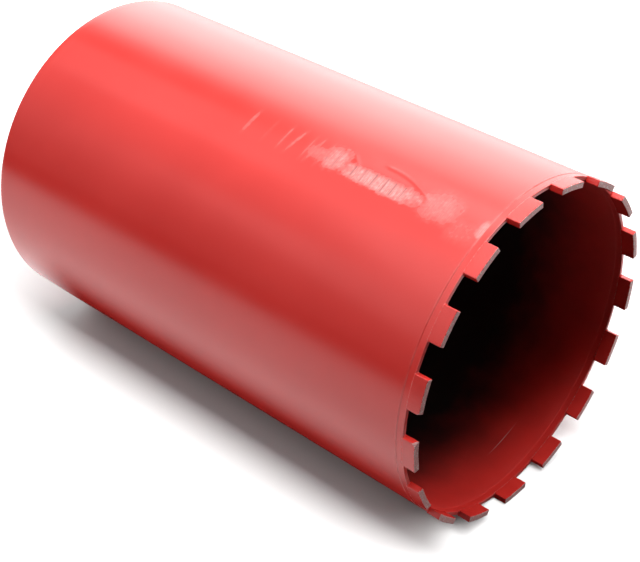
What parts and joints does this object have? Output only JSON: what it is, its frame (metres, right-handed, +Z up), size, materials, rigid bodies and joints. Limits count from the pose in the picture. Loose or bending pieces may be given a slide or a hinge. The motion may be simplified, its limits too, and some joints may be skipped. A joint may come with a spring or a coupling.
{
  "type": "diamond core bit",
  "caption": "Large open-ended wet-drilling core bit: red steel barrel with a ring of brazed diamond segments at its rim and a threaded wrench hub on a welded back plate.",
  "frame": {"origin": "centre of the ring of cutting tips, in the plane the tips stand on", "axes": "+Z runs up the barrel's axis from the tips to the threaded hub, which is the way out for the spindle; -Y passes through the middle of segment_01; the lengthwise seam is at -60 degrees from +X"},
  "size_m": [0.25, 0.2495, 0.444],
  "materials": {
    "red_paint": "gloss",
    "painted_weld": "gloss",
    "machined_steel": "turned",
    "segment_matrix": "matt, gritty"
  },
  "bodies": {
    "root": {"barrel_tube": "red_paint", "back_plate": "red_paint", "plate_weld": "painted_weld", "hub": "machined_steel", "hub_weld": "painted_weld", "segment_01": "segment_matrix", "segment_02": "segment_matrix", "segment_03": "segment_matrix", "segment_04": "segment_matrix", "segment_05": "segment_matrix", "segment_06": "segment_matrix", "segment_07": "segment_matrix", "segment_08": "segment_matrix", "segment_09": "segment_matrix", "segment_10": "segment_matrix", "segment_11": "segment_matrix", "segment_12": "segment_matrix", "segment_13": "segment_matrix", "segment_14": "segment_matrix", "segment_15": "segment_matrix", "segment_16": "segment_matrix", "segment_17": "segment_matrix"}
  },
  "joints": []
}
